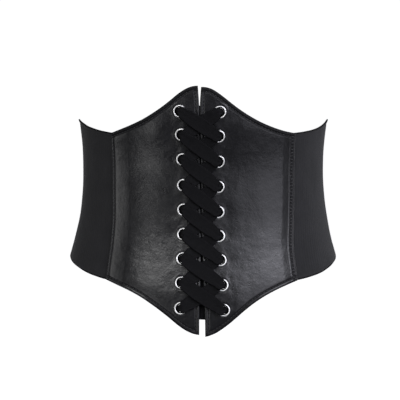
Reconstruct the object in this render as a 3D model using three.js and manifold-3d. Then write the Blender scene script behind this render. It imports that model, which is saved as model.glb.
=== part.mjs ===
// Corset belt: two pointed front panels, laced together through nine pairs of
// eyelets, and one wide elastic band that goes round the back from side seam to
// side seam. Millimetres, +Z up, the front faces -Y, +X is the right of the view.
// The origin is the centre of the waist, at the height where it is narrowest.
import * as THREE from 'three';
import { mergeVertices } from 'three/addons/utils/BufferGeometryUtils.js';
import Module from 'manifold-3d';

const wasm = await Module();
wasm.setup();

// ---------------------------------------------------------------- dimensions
const GAP = 0.3;                    // clearance between neighbouring pieces
const SQUARENESS = 2.3;             // exponent of the oval sections, 2 is an ellipse

const ELASTIC_THICKNESS = 1.2;
const PANEL_THICKNESS = 1.8;
const PANEL_INNER = ELASTIC_THICKNESS + GAP;          // offsets outward from the hollow
const PANEL_OUTER = PANEL_INNER + PANEL_THICKNESS;
const ELASTIC_TUCK = 4.5;           // degrees of elastic under each panel
const BONE_HEIGHT = 0.7;            // raised bone channel beside each side seam

const EYELET = {
  bore: 3.6, barrel: 4.1, rim: 5.75, back_rim: 5.4,   // radii
  rim_height: 1.1, back_thickness: 0.5, sides: 14,
};
const HOLE_RADIUS = EYELET.barrel + GAP;
const HOLE_SIDES = 16;

const LACE = {
  width: 12.6, thickness: 1.2,      // where two straps cross
  rim_width: 9.4,                   // where it goes over an eyelet's rim
  hole_width: 5.2, hole_thickness: 2.4,
  pass_shift: 1.35,                 // two passes lie side by side in one eyelet
  single_width: 4.6, single_thickness: 3.4, single_shift: -0.9,   // one alone, in the end rows
  bend: 1.2, bar_width: 9.5,
  bottom_bar_width: 14.4, bottom_bar_drop: 2.2,   // the lowest inside bar shows in the gap below
};
const KNOT = { x: -9.2, width: 9.0, height: 11.0, depth: 4.6 };

// the oval hollow that the belt encloses, a row for each height
const SECTIONS = [
  { z: 74, half_width: 117.0, front_depth: 90.3, back_depth: 82.0 },
  { z: 38, half_width: 112.9, front_depth: 87.5, back_depth: 80.0 },
  { z: 16, half_width: 110.6, front_depth: 84.5, back_depth: 78.0 },
  { z: 0, half_width: 110.1, front_depth: 83.0, back_depth: 77.5 },
  { z: -20, half_width: 110.5, front_depth: 82.8, back_depth: 79.0 },
  { z: -34, half_width: 111.7, front_depth: 83.1, back_depth: 81.0 },
  { z: -45, half_width: 113.1, front_depth: 83.7, back_depth: 83.0 },
  { z: -58, half_width: 115.5, front_depth: 85.0, back_depth: 85.8 },
  { z: -70, half_width: 118.2, front_depth: 86.8, back_depth: 88.5 },
  { z: -81, half_width: 121.3, front_depth: 88.9, back_depth: 90.9 },
  { z: -92, half_width: 124.2, front_depth: 91.2, back_depth: 93.0 },
  { z: -103, half_width: 126.0, front_depth: 93.5, back_depth: 94.4 },
  { z: -125, half_width: 128.0, front_depth: 96.2, back_depth: 96.0 },
  { z: -162, half_width: 129.0, front_depth: 95.8, back_depth: 97.0 },
];

// the two facing front edges, x at each height; they touch through the waist
const FRONT_EDGE = [
  { z: 74, left: -4.9, right: -1.8 },
  { z: 55, left: -3.6, right: -3.1 },
  { z: 29, left: -3.15, right: -2.65 },
  { z: -20, left: -2.75, right: -2.25 },
  { z: -70, left: -1.85, right: -1.35 },
  { z: -81, left: -2.0, right: -0.9 },
  { z: -101, left: -2.2, right: -0.2 },
  { z: -123, left: -3.3, right: 1.2 },
  { z: -150, left: -3.6, right: 1.7 },
];

// the side seams, degrees round from the front at each height
const SIDE_SEAM = [
  { z: 32, left: 50.7, right: 50.8 },
  { z: 2, left: 51.6, right: 51.7 },
  { z: -25, left: 51.5, right: 51.7 },
  { z: -49, left: 50.6, right: 50.5 },
  { z: -73, left: 49.9, right: 48.5 },
  { z: -102, left: 49.0, right: 47.4 },
];

// height of the panels' edges, from the front edge (0) to the side seam (1)
const PANEL_OUTLINE = [
  { at: 0.00, left_top: 72.4, left_bottom: -145.8, right_top: 71.3, right_bottom: -147.4 },
  { at: 0.03, left_top: 72.3, left_bottom: -145.5, right_top: 71.3, right_bottom: -147.0 },
  { at: 0.07, left_top: 71.8, left_bottom: -144.7, right_top: 70.8, right_bottom: -145.9 },
  { at: 0.12, left_top: 70.5, left_bottom: -143.1, right_top: 69.4, right_bottom: -144.2 },
  { at: 0.18, left_top: 68.1, left_bottom: -140.4, right_top: 66.5, right_bottom: -141.2 },
  { at: 0.25, left_top: 64.4, left_bottom: -136.2, right_top: 62.4, right_bottom: -137.2 },
  { at: 0.33, left_top: 59.4, left_bottom: -130.8, right_top: 57.2, right_bottom: -131.9 },
  { at: 0.42, left_top: 54.1, left_bottom: -125.2, right_top: 51.6, right_bottom: -125.8 },
  { at: 0.52, left_top: 48.7, left_bottom: -119.4, right_top: 46.0, right_bottom: -119.6 },
  { at: 0.63, left_top: 43.4, left_bottom: -113.7, right_top: 40.8, right_bottom: -113.9 },
  { at: 0.75, left_top: 38.7, left_bottom: -108.6, right_top: 36.3, right_bottom: -108.8 },
  { at: 0.88, left_top: 34.4, left_bottom: -104.1, right_top: 32.6, right_bottom: -104.3 },
  { at: 1.00, left_top: 30.7, left_bottom: -100.1, right_top: 30.4, right_bottom: -100.7 },
];

// raised bone channel: share of BONE_HEIGHT, from the front edge to the side seam
const BONE_RELIEF = [
  { at: 0.00, left: 0, right: 0 }, { at: 0.80, left: 0, right: 0 },
  { at: 0.85, left: 1, right: 1 }, { at: 0.91, left: 1, right: 0.9 },
  { at: 0.935, left: 1, right: 0 }, { at: 0.965, left: 0, right: 0 }, { at: 1.00, left: 0, right: 0 },
];

// height of the elastic's edges, degrees round from the front
const ELASTIC_OUTLINE = [
  { angle: 40, left_top: 28.4, left_bottom: -101.6, right_top: 28.4, right_bottom: -101.8 },
  { angle: 50, left_top: 30.5, left_bottom: -99.8, right_top: 30.4, right_bottom: -99.9 },
  { angle: 56, left_top: 31.9, left_bottom: -97.7, right_top: 31.3, right_bottom: -98.1 },
  { angle: 62, left_top: 33.7, left_bottom: -95.2, right_top: 32.6, right_bottom: -95.9 },
  { angle: 68, left_top: 35.8, left_bottom: -92.2, right_top: 34.4, right_bottom: -92.8 },
  { angle: 75, left_top: 38.8, left_bottom: -89.2, right_top: 37.7, right_bottom: -89.2 },
  { angle: 82, left_top: 41.0, left_bottom: -86.5, right_top: 40.6, right_bottom: -86.6 },
  { angle: 88, left_top: 41.6, left_bottom: -85.3, right_top: 41.6, right_bottom: -85.3 },
  { angle: 95, left_top: 38.0, left_bottom: -85.0, right_top: 37.4, right_bottom: -85.0 },
  { angle: 103, left_top: 32.2, left_bottom: -85.8, right_top: 31.4, right_bottom: -85.8 },
  { angle: 112, left_top: 27.4, left_bottom: -87.4, right_top: 26.9, right_bottom: -87.4 },
  { angle: 124, left_top: 24.9, left_bottom: -89.8, right_top: 24.6, right_bottom: -89.8 },
  { angle: 145, left_top: 24.2, left_bottom: -91.8, right_top: 24.1, right_bottom: -91.8 },
  { angle: 180, left_top: 24.2, left_bottom: -92.4, right_top: 24.2, right_bottom: -92.4 },
];

// eyelet centres, a row for each pair
const EYELETS = [
  { row: 1, left_x: -20.7, left_z: 50.2, right_x: 14.4, right_z: 49.5 },
  { row: 2, left_x: -19.1, left_z: 29.9, right_x: 13.4, right_z: 28.5 },
  { row: 3, left_x: -18.2, left_z: 7.9, right_x: 13.2, right_z: 6.0 },
  { row: 4, left_x: -17.5, left_z: -15.2, right_x: 13.0, right_z: -16.6 },
  { row: 5, left_x: -17.3, left_z: -36.9, right_x: 13.0, right_z: -38.8 },
  { row: 6, left_x: -17.4, left_z: -58.6, right_x: 13.5, right_z: -60.1 },
  { row: 7, left_x: -18.2, left_z: -80.0, right_x: 14.8, right_z: -81.3 },
  { row: 8, left_x: -19.2, left_z: -100.8, right_x: 16.4, right_z: -102.7 },
  { row: 9, left_x: -19.9, left_z: -122.5, right_x: 17.8, right_z: -124.1 },
];

// columns and rows of the faceted walls
const PANEL_COLUMNS = [0, .05, .1, .16, .23, .31, .4, .5, .6, .7, .8, .85, .91, .935, .965, 1];
const PANEL_ROWS = 20;
const ELASTIC_COLUMNS = 44;
const ELASTIC_ROWS = 8;

// ------------------------------------------------------------------ materials
const finish = (color, roughness, metalness) =>
  new THREE.MeshStandardMaterial({ color, roughness, metalness });
const leather = () => finish(0x262628, 0.42, 0);
const elastic = () => finish(0x1c1c1e, 0.85, 0);
const ribbon = () => finish(0x121212, 0.8, 0);
const silver = () => finish(0xc9c9c6, 0.25, 1);

// --------------------------------------------------------------- table lookup
// smooth curve through one named column of a table
function along(table, key, name, value) {
  const rows = table[0][key] < table[table.length - 1][key] ? table : [...table].reverse();
  const last = rows.length - 1;
  const x = Math.min(Math.max(value, rows[0][key]), rows[last][key]);
  let i = 0;
  while (i < last - 1 && x > rows[i + 1][key]) i++;
  const slope = (k) => (rows[k + 1][name] - rows[k][name]) / (rows[k + 1][key] - rows[k][key]);
  const tangent = (k) => {
    if (k === 0) return slope(0);
    if (k === last) return slope(last - 1);
    const before = rows[k][key] - rows[k - 1][key];
    const after = rows[k + 1][key] - rows[k][key];
    return (slope(k - 1) * after + slope(k) * before) / (before + after);
  };
  const h = rows[i + 1][key] - rows[i][key];
  const t = (x - rows[i][key]) / h;
  const t2 = t * t, t3 = t2 * t;
  return (2 * t3 - 3 * t2 + 1) * rows[i][name] + (t3 - 2 * t2 + t) * h * tangent(i)
    + (3 * t2 - 2 * t3) * rows[i + 1][name] + (t3 - t2) * h * tangent(i + 1);
}
// straight lines through one named column
function between(table, key, name, value) {
  let i = 0;
  while (i < table.length - 2 && value > table[i + 1][key]) i++;
  const a = table[i], b = table[i + 1];
  const t = Math.min(Math.max((value - a[key]) / (b[key] - a[key]), 0), 1);
  return a[name] + (b[name] - a[name]) * t;
}

// --------------------------------------------------------------- body surface
// angle 0 is the front (-Y), a quarter turn is the right side (+X)
function ovalPoint(angle, z) {
  const a = along(SECTIONS, 'z', 'half_width', z);
  const s = Math.sin(angle), c = Math.cos(angle);
  const b = along(SECTIONS, 'z', c > 0 ? 'front_depth' : 'back_depth', z);
  const r = (Math.abs(s / a) ** SQUARENESS + Math.abs(c / b) ** SQUARENESS) ** (-1 / SQUARENESS);
  return new THREE.Vector3(r * s, -r * c, z);
}
function surfaceFrame(angle, z) {
  const side = ovalPoint(angle + 1e-3, z).sub(ovalPoint(angle - 1e-3, z)).normalize();
  const up = ovalPoint(angle, z + 0.5).sub(ovalPoint(angle, z - 0.5)).normalize();
  const out = new THREE.Vector3().crossVectors(side, up).normalize();
  return { point: ovalPoint(angle, z), side, up, out };
}
function surfacePoint(angle, z, offset) {
  const f = surfaceFrame(angle, z);
  return f.point.addScaledVector(f.out, offset);
}
// angle on the front where the panel's outer face has this x
function angleAtX(x, z, offset = PANEL_OUTER) {
  let low = -1.4, high = 1.4;
  for (let i = 0; i < 40; i++) {
    const mid = (low + high) / 2;
    if (surfacePoint(mid, z, offset).x < x) low = mid; else high = mid;
  }
  return (low + high) / 2;
}

// ------------------------------------------------------------- making of walls
// a box bent into a wall: map(u, v, w), each 0 to 1, w is inside to outside
function bentWall(columns, rows, map) {
  const g = new THREE.BoxGeometry(1, 1, 1, columns, rows, 1);
  g.deleteAttribute('normal');
  g.deleteAttribute('uv');
  const p = g.attributes.position;
  for (let i = 0; i < p.count; i++) {
    const q = map(p.getX(i) + 0.5, p.getY(i) + 0.5, p.getZ(i) + 0.5);
    p.setXYZ(i, q.x, q.y, q.z);
  }
  return mergeVertices(g, 1e-4);
}
function toSolid(geometry) {
  const g = mergeVertices(geometry, 1e-4);
  return new wasm.Manifold(new wasm.Mesh({
    numProp: 3,
    vertProperties: new Float32Array(g.attributes.position.array),
    triVerts: new Uint32Array(g.index.array),
  }));
}
function toGeometry(solid) {
  const mesh = solid.getMesh();
  const g = new THREE.BufferGeometry();
  const points = new Float32Array(mesh.numVert * 3);
  for (let i = 0; i < mesh.numVert; i++)
    for (let k = 0; k < 3; k++) points[3 * i + k] = mesh.vertProperties[i * mesh.numProp + k];
  g.setAttribute('position', new THREE.BufferAttribute(points, 3));
  g.setIndex(new THREE.BufferAttribute(new Uint32Array(mesh.triVerts), 1));
  return g;
}
function bare(g) {
  g.deleteAttribute('normal');
  g.deleteAttribute('uv');
  return g;
}

// ---------------------------------------------------------------- front panels
function panelAngle(side, at, z) {
  const sign = side === 'left' ? -1 : 1;
  const front = angleAtX(along(FRONT_EDGE, 'z', side, z), z);
  const seam = sign * THREE.MathUtils.degToRad(along(SIDE_SEAM, 'z', side, z));
  return front + (seam - front) * at;
}
// a local frame at an eyelet's centre: y outward, z up, x sideways
function eyeletMatrix(x, z) {
  const f = surfaceFrame(angleAtX(x, z), z);
  return new THREE.Matrix4().makeBasis(f.side, f.out.clone(), f.up.clone().negate())
    .setPosition(f.point);
}
function frontPanel(side) {
  const columns = PANEL_COLUMNS.length - 1;
  const wall = bentWall(columns, PANEL_ROWS, (u, v, w) => {
    const k = Math.round((side === 'left' ? 1 - u : u) * columns);
    const at = PANEL_COLUMNS[k];
    const low = along(PANEL_OUTLINE, 'at', side + '_bottom', at);
    const high = along(PANEL_OUTLINE, 'at', side + '_top', at);
    const z = low + (high - low) * v;
    const bone = BONE_HEIGHT * between(BONE_RELIEF, 'at', side, at);
    return surfacePoint(panelAngle(side, at, z), z, w < 0.5 ? PANEL_INNER : PANEL_OUTER + bone);
  });
  let solid = toSolid(wall);
  for (const row of EYELETS) {
    const punch = bare(new THREE.CylinderGeometry(HOLE_RADIUS, HOLE_RADIUS, 9, HOLE_SIDES));
    punch.translate(0, PANEL_OUTER, 0);
    punch.applyMatrix4(eyeletMatrix(row[side + '_x'], row[side + '_z']));
    solid = solid.subtract(toSolid(punch));
  }
  return toGeometry(solid);
}

// --------------------------------------------------------------- elastic band
function elasticBand() {
  return bentWall(ELASTIC_COLUMNS, ELASTIC_ROWS, (u, v, w) => {
    // goes round from the right seam, by the back, to the left seam
    let z = -30, angle = 0, side = 'right', degrees = 0;
    for (let pass = 0; pass < 4; pass++) {
      const start = along(SIDE_SEAM, 'z', 'right', z) - ELASTIC_TUCK;
      const end = 360 - along(SIDE_SEAM, 'z', 'left', z) + ELASTIC_TUCK;
      degrees = start + (end - start) * u;
      side = degrees <= 180 ? 'right' : 'left';
      const from_front = degrees <= 180 ? degrees : 360 - degrees;
      const low = along(ELASTIC_OUTLINE, 'angle', side + '_bottom', from_front);
      const high = along(ELASTIC_OUTLINE, 'angle', side + '_top', from_front);
      z = low + (high - low) * v;
    }
    angle = THREE.MathUtils.degToRad(degrees);
    return surfacePoint(angle, z, w < 0.5 ? 0 : ELASTIC_THICKNESS);
  });
}

// -------------------------------------------------------------------- eyelets
function eyelet() {
  const face = PANEL_OUTER + GAP, back = PANEL_INNER - GAP;
  const profile = [
    [EYELET.bore, back - EYELET.back_thickness],
    [EYELET.back_rim, back - EYELET.back_thickness],
    [EYELET.back_rim, back],
    [EYELET.barrel, back],
    [EYELET.barrel, face],
    [EYELET.rim, face],
    [EYELET.rim - 0.25, face + EYELET.rim_height * 0.7],
    [(EYELET.rim + EYELET.bore) / 2, face + EYELET.rim_height],
    [EYELET.bore, face + EYELET.rim_height * 0.55],
    [EYELET.bore, back - EYELET.back_thickness],
  ].map(([r, h]) => new THREE.Vector2(r, h));
  return bare(new THREE.LatheGeometry(profile, EYELET.sides));
}

// ----------------------------------------------------------------------- lace
// Offsets outward at which the ribbon's centre runs. Layer 0 lies on the
// eyelets' rims, layer 1 lies over layer 0, and inside they are stacked likewise.
const LAYER_STEP = LACE.thickness + GAP;
const strapOffset = (layer) =>
  PANEL_OUTER + GAP + EYELET.rim_height + GAP + LACE.thickness / 2 + layer * LAYER_STEP;
const barOffset = (layer) =>
  PANEL_INNER - GAP - EYELET.back_thickness - GAP - LACE.thickness / 2 - layer * LAYER_STEP;
const STRAP_SAG = 1.1;              // between the eyelets it sinks towards the panels

// one ribbon section: centre by x, z and offset; lean is the turn of its width
const station = (x, z, offset, width, thickness, lean = 0) => ({ x, z, offset, width, thickness, lean });

// share of the way along a strap, its width and how far it has sunk
const STRAP_STATIONS = [
  { at: 0.12, width: 10.4, sink: 0.15 },
  { at: 0.28, width: 12.2, sink: 0.85 },
  { at: 0.50, width: 12.6, sink: 1.0 },
  { at: 0.72, width: 12.2, sink: 0.85 },
  { at: 0.88, width: 10.4, sink: 0.15 },
];

// gathered size of a pass through an eyelet, and its shift towards the belt's centre
function passAt(row, layer) {
  if (row.row === 1 || row.row === EYELETS.length)
    return { shift: LACE.single_shift, width: LACE.single_width, thickness: LACE.single_thickness };
  return {
    shift: LACE.pass_shift * (layer === 0 ? 1 : -1),
    width: LACE.hole_width, thickness: LACE.hole_thickness,
  };
}
// up out of a left eyelet, over the front, down into a right one
function strap(list, left, right, layer) {
  const a = passAt(left, layer), c = passAt(right, layer);
  const xa = left.left_x + a.shift, xb = right.right_x - c.shift;
  const za = left.left_z, zb = right.right_z;
  const top = strapOffset(layer), b = LACE.bend;
  const lean = Math.atan2(zb - za, xb - xa - 2 * b);
  list.push(station(xa, za, PANEL_OUTER - 0.9, a.width, a.thickness));
  list.push(station(xa, za, top - b, a.width, a.thickness * 0.9));
  list.push(station(xa + 0.3 * b, za, top - 0.3 * b, LACE.hole_width + 0.8, LACE.thickness * 1.15, lean * 0.2));
  list.push(station(xa + b, za, top, LACE.rim_width - 1, LACE.thickness, lean * 0.5));
  for (const s of STRAP_STATIONS)
    list.push(station(xa + b + (xb - xa - 2 * b) * s.at, za + (zb - za) * s.at,
      top - STRAP_SAG * s.sink, s.width, LACE.thickness, lean));
  list.push(station(xb - b, zb, top, LACE.rim_width - 1, LACE.thickness, lean * 0.5));
  list.push(station(xb - 0.3 * b, zb, top - 0.3 * b, LACE.hole_width + 0.8, LACE.thickness * 1.15, lean * 0.2));
  list.push(station(xb, zb, top - b, c.width, c.thickness * 0.9));
  list.push(station(xb, zb, PANEL_OUTER - 0.9, c.width, c.thickness));
}
// inside, from a right eyelet back to a left one in the same row
function barStart(list, row, layer) {
  const low = barOffset(layer), b = LACE.bend, c = passAt(row, layer);
  const x = row.right_x - c.shift, z = row.right_z;
  list.push(station(x, z, low + b, c.width, c.thickness * 0.9));
  list.push(station(x - 0.3 * b, z, low + 0.3 * b, LACE.hole_width + 0.8, LACE.thickness * 1.15));
  list.push(station(x - b, z, low, LACE.rim_width - 1, LACE.thickness));
}
function barEnd(list, row, layer) {
  const low = barOffset(layer), b = LACE.bend, a = passAt(row, layer);
  const x = row.left_x + a.shift, z = row.left_z;
  list.push(station(x + b, z, low, LACE.rim_width - 1, LACE.thickness));
  list.push(station(x + 0.3 * b, z, low + 0.3 * b, LACE.hole_width + 0.8, LACE.thickness * 1.15));
  list.push(station(x, z, low + b, a.width, a.thickness * 0.9));
}
function bar(list, row, layer_in, layer_out, width = LACE.bar_width, drop = 0) {
  const xr = row.right_x - passAt(row, layer_in).shift;
  const xl = row.left_x + passAt(row, layer_out).shift;
  barStart(list, row, layer_in);
  list.push(station((xl + xr) / 2, (row.left_z + row.right_z) / 2 - drop,
    (barOffset(layer_in) + barOffset(layer_out)) / 2, width, LACE.thickness));
  barEnd(list, row, layer_out);
}
function laceRoute() {
  const list = [];
  const first = EYELETS[0], last = EYELETS.length - 1;
  const knotLeft = KNOT.x - KNOT.width / 2 - GAP, knotRight = KNOT.x + KNOT.width / 2 + GAP;
  // from the knot out through the first left eyelet
  list.push(station(knotLeft, first.left_z, barOffset(1), 9.0, LACE.thickness));
  barEnd(list, first, 1);
  // down the front, every strap from upper left to lower right, on top
  for (let i = 0; i < last; i++) {
    strap(list, EYELETS[i], EYELETS[i + 1], 1);
    if (i + 1 < last) bar(list, EYELETS[i + 1], 1, 1);
    else bar(list, EYELETS[last], 1, 0, LACE.bottom_bar_width, LACE.bottom_bar_drop);
  }
  // and up again, every strap from lower left to upper right, underneath
  for (let i = last; i > 0; i--) {
    strap(list, EYELETS[i], EYELETS[i - 1], 0);
    if (i > 1) bar(list, EYELETS[i - 1], 0, 0);
  }
  // in through the first right eyelet to the knot
  barStart(list, first, 0);
  list.push(station(4.5, first.right_z, (barOffset(0) + barOffset(1)) / 2, 9.8, LACE.thickness));
  list.push(station(knotRight, first.left_z, barOffset(1), 9.0, LACE.thickness));
  return list;
}
// share of half the width and half the thickness at each corner of the section
const RIBBON_CORNERS = [
  { across: 1, through: 0 }, { across: 0.8, through: 1 }, { across: -0.8, through: 1 },
  { across: -1, through: 0 }, { across: -0.8, through: -1 }, { across: 0.8, through: -1 },
];
function lace() {
  const route = laceRoute().map((s) => {
    const f = surfaceFrame(angleAtX(s.x, s.z, Math.max(s.offset, 0)), s.z);
    const point = f.point.clone().addScaledVector(f.out, s.offset);
    const width = f.up.clone().multiplyScalar(Math.cos(s.lean))
      .addScaledVector(f.side, -Math.sin(s.lean));
    return { ...s, point, across: width };
  });
  const steps = route.length - 1, corners = RIBBON_CORNERS.length;
  for (let i = 0; i <= steps; i++) {
    const a = route[Math.max(i - 1, 0)].point, b = route[Math.min(i + 1, steps)].point;
    const forward = b.clone().sub(a).normalize();
    const s = route[i];
    s.across.addScaledVector(forward, -s.across.dot(forward)).normalize();
    s.through = new THREE.Vector3().crossVectors(s.across, forward).normalize();
  }
  const g = bare(new THREE.CylinderGeometry(1, 1, 1, corners, steps));
  const p = g.attributes.position;
  for (let i = 0; i < p.count; i++) {
    const s = route[Math.round((0.5 - p.getY(i)) * steps)];
    const q = s.point.clone();
    if (Math.hypot(p.getX(i), p.getZ(i)) > 0.5) {
      const turn = Math.atan2(p.getX(i), p.getZ(i)) / (2 * Math.PI);
      const c = RIBBON_CORNERS[(Math.round(turn * corners) + 2 * corners) % corners];
      q.addScaledVector(s.across, c.across * s.width / 2)
        .addScaledVector(s.through, c.through * s.thickness / 2);
    }
    p.setXYZ(i, q.x, q.y, q.z);
  }
  return mergeVertices(g, 1e-4);
}

// the plain tie that holds the ribbon's two ends, hidden behind the left panel
function laceKnot() {
  const row = EYELETS[0];
  const f = surfaceFrame(angleAtX(KNOT.x, row.left_z, 0), row.left_z);
  const centre = f.point.clone().addScaledVector(f.out, barOffset(1) - 1.2);
  const g = bare(new THREE.BoxGeometry(1, 1, 1, 4, 4, 3));
  const p = g.attributes.position;
  for (let i = 0; i < p.count; i++) {
    const x = 2 * p.getX(i), y = 2 * p.getY(i), z = 2 * p.getZ(i);
    const round = Math.sqrt(1 - 0.35 * Math.max(y * y, z * z)) * Math.sqrt(1 - 0.2 * Math.min(y * y, z * z));
    const bulge = 1 - 0.16 * x * x;
    const q = centre.clone()
      .addScaledVector(f.side, x * KNOT.width / 2)
      .addScaledVector(f.up, y * bulge * round * KNOT.height / 2)
      .addScaledVector(f.out, z * bulge * round * KNOT.depth / 2);
    p.setXYZ(i, q.x, q.y, q.z);
  }
  return mergeVertices(g, 1e-4);
}

// ------------------------------------------------------------------- assembly
const belt = new THREE.Group();
function add(name, geometry, material) {
  const mesh = new THREE.Mesh(geometry, material);
  mesh.name = name;
  belt.add(mesh);
  return mesh;
}
add('front_panel_left', frontPanel('left'), leather());
add('front_panel_right', frontPanel('right'), leather());
add('elastic_band', elasticBand(), elastic());
for (const side of ['left', 'right'])
  for (const row of EYELETS) {
    const mesh = add(`eyelet_${side[0]}${row.row}`, eyelet(), silver());
    mesh.applyMatrix4(eyeletMatrix(row[side + '_x'], row[side + '_z']));
  }
add('lace', lace(), ribbon());
add('lace_knot', laceKnot(), ribbon());

export default belt;
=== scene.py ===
import math

import bpy
import numpy as np
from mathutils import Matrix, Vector, geometry


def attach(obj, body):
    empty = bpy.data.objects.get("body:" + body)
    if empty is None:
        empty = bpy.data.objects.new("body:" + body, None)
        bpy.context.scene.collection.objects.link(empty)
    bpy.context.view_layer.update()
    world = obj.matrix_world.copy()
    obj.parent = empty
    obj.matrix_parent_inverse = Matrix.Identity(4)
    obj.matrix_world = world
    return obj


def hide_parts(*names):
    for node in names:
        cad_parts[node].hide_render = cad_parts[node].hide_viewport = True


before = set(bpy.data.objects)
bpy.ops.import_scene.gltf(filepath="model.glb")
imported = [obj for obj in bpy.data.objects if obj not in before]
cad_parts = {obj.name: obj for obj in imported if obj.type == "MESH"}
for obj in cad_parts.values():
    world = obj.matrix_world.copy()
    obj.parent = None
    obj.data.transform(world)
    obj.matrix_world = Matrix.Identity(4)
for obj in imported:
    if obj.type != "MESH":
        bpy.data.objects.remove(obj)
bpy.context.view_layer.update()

MM = 0.001

# ------------------------------------------------------------------ dimensions
SQUARENESS = 2.3
ELASTIC_THICKNESS = 1.2
PANEL_INNER = 1.5
PANEL_OUTER = 3.3
ELASTIC_TUCK = 4.5

SECTIONS = {
    "z": [74, 38, 16, 0, -20, -34, -45, -58, -70, -81, -92, -103, -125, -162],
    "half_width": [117.0, 112.9, 110.6, 110.1, 110.5, 111.7, 113.1, 115.5, 118.2, 121.3, 124.2, 126.0, 128.0, 129.0],
    "front_depth": [90.3, 87.5, 84.5, 83.0, 82.8, 83.1, 83.7, 85.0, 86.8, 88.9, 91.2, 93.5, 96.2, 95.8],
    "back_depth": [82.0, 80.0, 78.0, 77.5, 79.0, 81.0, 83.0, 85.8, 88.5, 90.9, 93.0, 94.4, 96.0, 97.0],
}
FRONT_EDGE = {
    "z": [74, 55, 29, -20, -70, -81, -101, -123, -150],
    "left": [-4.9, -3.6, -3.15, -2.75, -1.85, -2.0, -2.2, -3.3, -3.6],
    "right": [-1.8, -3.1, -2.65, -2.25, -1.35, -0.9, -0.2, 1.2, 1.7],
}
SIDE_SEAM = {
    "z": [32, 2, -25, -49, -73, -102],
    "left": [50.7, 51.6, 51.5, 50.6, 49.9, 49.0],
    "right": [50.8, 51.7, 51.7, 50.5, 48.5, 47.4],
}
PANEL_OUTLINE = {
    "at": [0.00, 0.03, 0.07, 0.12, 0.18, 0.25, 0.33, 0.42, 0.52, 0.63, 0.75, 0.88, 1.00],
    "left_top": [72.4, 72.3, 71.8, 70.5, 68.1, 64.4, 59.4, 54.1, 48.7, 43.4, 38.7, 34.4, 30.7],
    "left_bottom": [-145.8, -145.5, -144.7, -143.1, -140.4, -136.2, -130.8, -125.2, -119.4, -113.7, -108.6, -104.1, -100.1],
    "right_top": [71.3, 71.3, 70.8, 69.4, 66.5, 62.4, 57.2, 51.6, 46.0, 40.8, 36.3, 32.6, 30.4],
    "right_bottom": [-147.4, -147.0, -145.9, -144.2, -141.2, -137.2, -131.9, -125.8, -119.6, -113.9, -108.8, -104.3, -100.7],
}
ELASTIC_OUTLINE = {
    "angle": [40, 50, 56, 62, 68, 75, 82, 88, 95, 103, 112, 124, 145, 180],
    "left_top": [28.4, 30.5, 31.9, 33.7, 35.8, 38.8, 41.0, 41.6, 38.0, 32.2, 27.4, 24.9, 24.2, 24.2],
    "left_bottom": [-101.6, -99.8, -97.7, -95.2, -92.2, -89.2, -86.5, -85.3, -85.0, -85.8, -87.4, -89.8, -91.8, -92.4],
    "right_top": [28.4, 30.4, 31.3, 32.6, 34.4, 37.7, 40.6, 41.6, 37.4, 31.4, 26.9, 24.6, 24.1, 24.2],
    "right_bottom": [-101.8, -99.9, -98.1, -95.9, -92.8, -89.2, -86.6, -85.3, -85.0, -85.8, -87.4, -89.8, -91.8, -92.4],
}
EYELETS = {
    "row": [1, 2, 3, 4, 5, 6, 7, 8, 9],
    "left_x": [-20.7, -19.1, -18.2, -17.5, -17.3, -17.4, -18.2, -19.2, -19.9],
    "left_z": [50.2, 29.9, 7.9, -15.2, -36.9, -58.6, -80.0, -100.8, -122.5],
    "right_x": [14.4, 13.4, 13.2, 13.0, 13.0, 13.5, 14.8, 16.4, 17.8],
    "right_z": [49.5, 28.5, 6.0, -16.6, -38.8, -60.1, -81.3, -102.7, -124.1],
}
EYELET = {"bore": 3.6, "barrel": 4.1, "rim": 5.75, "back_rim": 5.4, "rim_height": 1.1, "back_thickness": 0.5}
LACE = {
    "thickness": 1.2, "rim_width": 9.4, "hole_width": 5.2, "hole_thickness": 2.4, "pass_shift": 1.35,
    "single_width": 4.6, "single_thickness": 3.4, "single_shift": -0.9,
    "bend": 1.2, "bar_width": 9.5, "bottom_bar_width": 14.4, "bottom_bar_drop": 2.2,
}
STRAP_STATIONS = [(0.12, 10.4, 0.15), (0.28, 12.2, 0.85), (0.50, 12.6, 1.0), (0.72, 12.2, 0.85), (0.88, 10.4, 0.15)]
KNOT = {"x": -9.2, "width": 9.0, "height": 11.0, "depth": 4.6}
GAP = 0.3

# the visible work on the panels, distances in from an edge
STITCH_LINE = 3.4
STITCH_PITCH = 3.1
LEFT_SEAM_LINE = 1.3
RIGHT_LADDER = 3.3
LADDER_PITCH = 2.9

# soft unevenness of the worn panels: distance from the front edge, height z, rise, reach
DENTS = {
    "left": [(42, 36, 1.0, 15), (62, 0, -0.5, 17), (38, -104, 0.4, 20), (22, -30, -0.35, 12), (66, -84, 0.25, 16), (30, -124, 0.2, 13)],
    "right": [(52, 30, 0.6, 18), (30, 8, -0.4, 14), (50, -108, 0.4, 22), (24, -46, -0.35, 12), (30, -84, -0.3, 11), (33, -127, 0.7, 15)],
}


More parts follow.
